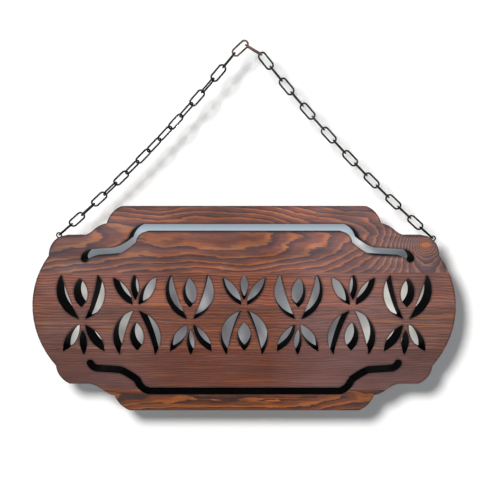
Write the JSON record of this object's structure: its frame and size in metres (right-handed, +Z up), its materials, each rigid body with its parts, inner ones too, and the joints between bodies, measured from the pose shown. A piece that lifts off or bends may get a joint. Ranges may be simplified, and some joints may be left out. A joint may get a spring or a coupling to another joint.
{
  "type": "wooden sign",
  "caption": "Scalloped wooden hanging sign of glued staves, pierced with framing grooves and a row of tulips, on a chain of bent wire links laid over one nail.",
  "frame": {"origin": "point where the nail touches the inside of the top link's upper bow", "axes": "+X to the viewer's right along the board, +Z up, the front face looks towards -Y"},
  "size_m": [0.5, 0.02, 0.4309],
  "materials": {
    "red_wood": "satin",
    "striped_wood": "satin",
    "dark_wood": "satin",
    "black_steel": "satin"
  },
  "bodies": {
    "top_link": {"top_link": "black_steel"},
    "board": {"top_stave": "red_wood", "upper_stave": "striped_wood", "middle_stave": "dark_wood", "lower_stave": "dark_wood", "bottom_stave": "red_wood", "left_screw_eye": "black_steel", "right_screw_eye": "black_steel"},
    "left_link_01": {"left_link_01": "black_steel"},
    "left_link_02": {"left_link_02": "black_steel"},
    "left_link_03": {"left_link_03": "black_steel"},
    "left_link_04": {"left_link_04": "black_steel"},
    "left_link_05": {"left_link_05": "black_steel"},
    "left_link_06": {"left_link_06": "black_steel"},
    "left_link_07": {"left_link_07": "black_steel"},
    "left_link_08": {"left_link_08": "black_steel"},
    "left_link_09": {"left_link_09": "black_steel"},
    "left_link_10": {"left_link_10": "black_steel"},
    "left_link_11": {"left_link_11": "black_steel"},
    "left_link_12": {"left_link_12": "black_steel"},
    "left_link_13": {"left_link_13": "black_steel"},
    "left_link_14": {"left_link_14": "black_steel"},
    "left_link_15": {"left_link_15": "black_steel"},
    "left_link_16": {"left_link_16": "black_steel"},
    "right_link_01": {"right_link_01": "black_steel"},
    "right_link_02": {"right_link_02": "black_steel"},
    "right_link_03": {"right_link_03": "black_steel"},
    "right_link_04": {"right_link_04": "black_steel"},
    "right_link_05": {"right_link_05": "black_steel"},
    "right_link_06": {"right_link_06": "black_steel"},
    "right_link_07": {"right_link_07": "black_steel"},
    "right_link_08": {"right_link_08": "black_steel"},
    "right_link_09": {"right_link_09": "black_steel"},
    "right_link_10": {"right_link_10": "black_steel"},
    "right_link_11": {"right_link_11": "black_steel"},
    "right_link_12": {"right_link_12": "black_steel"},
    "right_link_13": {"right_link_13": "black_steel"},
    "right_link_14": {"right_link_14": "black_steel"},
    "right_link_15": {"right_link_15": "black_steel"},
    "right_link_16": {"right_link_16": "black_steel"},
    "right_link_17": {"right_link_17": "black_steel"}
  },
  "joints": [
    {"name": "left_link_01_turn", "type": "hinge", "parent": "top_link", "child": "left_link_01", "pos_m": [-0.01734, 0, -0.01973], "axis": [-0.6561, 0, -0.7547], "range_deg": [-15, 15]},
    {"name": "left_link_02_turn", "type": "hinge", "parent": "top_link", "child": "left_link_02", "pos_m": [-0.02922, 0, -0.03325], "axis": [-0.6643, 0, -0.7475], "range_deg": [-15, 15]},
    {"name": "left_link_03_turn", "type": "hinge", "parent": "top_link", "child": "left_link_03", "pos_m": [-0.04125, 0, -0.04664], "axis": [-0.6724, 0, -0.7402], "range_deg": [-15, 15]},
    {"name": "left_link_04_turn", "type": "hinge", "parent": "top_link", "child": "left_link_04", "pos_m": [-0.05343, 0, -0.0599], "axis": [-0.6804, 0, -0.7328], "range_deg": [-15, 15]},
    {"name": "left_link_05_turn", "type": "hinge", "parent": "top_link", "child": "left_link_05", "pos_m": [-0.06575, 0, -0.07302], "axis": [-0.6884, 0, -0.7254], "range_deg": [-15, 15]},
    {"name": "left_link_06_turn", "type": "hinge", "parent": "top_link", "child": "left_link_06", "pos_m": [-0.07821, 0, -0.08601], "axis": [-0.6963, 0, -0.7178], "range_deg": [-15, 15]},
    {"name": "left_link_07_turn", "type": "hinge", "parent": "top_link", "child": "left_link_07", "pos_m": [-0.09081, 0, -0.09886], "axis": [-0.704, 0, -0.7102], "range_deg": [-15, 15]},
    {"name": "left_link_08_turn", "type": "hinge", "parent": "top_link", "child": "left_link_08", "pos_m": [-0.10355, 0, -0.11157], "axis": [-0.7117, 0, -0.7024], "range_deg": [-15, 15]},
    {"name": "left_link_09_turn", "type": "hinge", "parent": "top_link", "child": "left_link_09", "pos_m": [-0.11643, 0, -0.12415], "axis": [-0.7194, 0, -0.6946], "range_deg": [-15, 15]},
    {"name": "left_link_10_turn", "type": "hinge", "parent": "top_link", "child": "left_link_10", "pos_m": [-0.12945, 0, -0.13658], "axis": [-0.7269, 0, -0.6867], "range_deg": [-15, 15]},
    {"name": "left_link_11_turn", "type": "hinge", "parent": "top_link", "child": "left_link_11", "pos_m": [-0.1426, 0, -0.14887], "axis": [-0.7343, 0, -0.6788], "range_deg": [-15, 15]},
    {"name": "left_link_12_turn", "type": "hinge", "parent": "top_link", "child": "left_link_12", "pos_m": [-0.15588, 0, -0.16102], "axis": [-0.7417, 0, -0.6707], "range_deg": [-15, 15]},
    {"name": "left_link_13_turn", "type": "hinge", "parent": "top_link", "child": "left_link_13", "pos_m": [-0.1693, 0, -0.17302], "axis": [-0.749, 0, -0.6626], "range_deg": [-15, 15]},
    {"name": "left_link_14_turn", "type": "hinge", "parent": "top_link", "child": "left_link_14", "pos_m": [-0.18285, 0, -0.18487], "axis": [-0.7562, 0, -0.6544], "range_deg": [-15, 15]},
    {"name": "left_link_15_turn", "type": "hinge", "parent": "top_link", "child": "left_link_15", "pos_m": [-0.19652, 0, -0.19657], "axis": [-0.7633, 0, -0.6461], "range_deg": [-15, 15]},
    {"name": "left_link_16_turn", "type": "hinge", "parent": "top_link", "child": "left_link_16", "pos_m": [-0.21032, 0, -0.20813], "axis": [-0.7703, 0, -0.6377], "range_deg": [-8, 8]},
    {"name": "right_link_01_turn", "type": "hinge", "parent": "top_link", "child": "right_link_01", "pos_m": [0.01026, 0, -0.00893], "axis": [0.866, 0, -0.5], "range_deg": [-15, 15]},
    {"name": "right_link_02_turn", "type": "hinge", "parent": "top_link", "child": "right_link_02", "pos_m": [0.02384, 0, -0.02032], "axis": [0.6429, 0, -0.766], "range_deg": [-15, 15]},
    {"name": "right_link_03_turn", "type": "hinge", "parent": "top_link", "child": "right_link_03", "pos_m": [0.03549, 0, -0.03404], "axis": [0.6512, 0, -0.7589], "range_deg": [-15, 15]},
    {"name": "right_link_04_turn", "type": "hinge", "parent": "top_link", "child": "right_link_04", "pos_m": [0.04728, 0, -0.04764], "axis": [0.6594, 0, -0.7518], "range_deg": [-15, 15]},
    {"name": "right_link_05_turn", "type": "hinge", "parent": "top_link", "child": "right_link_05", "pos_m": [0.05923, 0, -0.06111], "axis": [0.6676, 0, -0.7445], "range_deg": [-15, 15]},
    {"name": "right_link_06_turn", "type": "hinge", "parent": "top_link", "child": "right_link_06", "pos_m": [0.07132, 0, -0.07444], "axis": [0.6757, 0, -0.7372], "range_deg": [-15, 15]},
    {"name": "right_link_07_turn", "type": "hinge", "parent": "top_link", "child": "right_link_07", "pos_m": [0.08355, 0, -0.08765], "axis": [0.6837, 0, -0.7298], "range_deg": [-15, 15]},
    {"name": "right_link_08_turn", "type": "hinge", "parent": "top_link", "child": "right_link_08", "pos_m": [0.09593, 0, -0.10071], "axis": [0.6916, 0, -0.7223], "range_deg": [-15, 15]},
    {"name": "right_link_09_turn", "type": "hinge", "parent": "top_link", "child": "right_link_09", "pos_m": [0.10845, 0, -0.11365], "axis": [0.6994, 0, -0.7147], "range_deg": [-15, 15]},
    {"name": "right_link_10_turn", "type": "hinge", "parent": "top_link", "child": "right_link_10", "pos_m": [0.12111, 0, -0.12644], "axis": [0.7072, 0, -0.707], "range_deg": [-15, 15]},
    {"name": "right_link_11_turn", "type": "hinge", "parent": "top_link", "child": "right_link_11", "pos_m": [0.1339, 0, -0.1391], "axis": [0.7148, 0, -0.6993], "range_deg": [-15, 15]},
    {"name": "right_link_12_turn", "type": "hinge", "parent": "top_link", "child": "right_link_12", "pos_m": [0.14684, 0, -0.15162], "axis": [0.7224, 0, -0.6914], "range_deg": [-15, 15]},
    {"name": "right_link_13_turn", "type": "hinge", "parent": "top_link", "child": "right_link_13", "pos_m": [0.15991, 0, -0.16399], "axis": [0.7299, 0, -0.6835], "range_deg": [-15, 15]},
    {"name": "right_link_14_turn", "type": "hinge", "parent": "top_link", "child": "right_link_14", "pos_m": [0.17311, 0, -0.17622], "axis": [0.7373, 0, -0.6755], "range_deg": [-15, 15]},
    {"name": "right_link_15_turn", "type": "hinge", "parent": "top_link", "child": "right_link_15", "pos_m": [0.18645, 0, -0.18831], "axis": [0.7447, 0, -0.6674], "range_deg": [-15, 15]},
    {"name": "right_link_16_turn", "type": "hinge", "parent": "top_link", "child": "right_link_16", "pos_m": [0.19992, 0, -0.20025], "axis": [0.7519, 0, -0.6593], "range_deg": [-15, 15]},
    {"name": "right_link_17_turn", "type": "hinge", "parent": "top_link", "child": "right_link_17", "pos_m": [0.21352, 0, -0.21204], "axis": [0.759, 0, -0.651], "range_deg": [-8, 8]},
    {"name": "board_tilt", "type": "hinge", "parent": "top_link", "child": "board", "pos_m": [0.00155, 0, -0.21588], "axis": [1, 0, -0.0092], "range_deg": [-15, 15]}
  ]
}
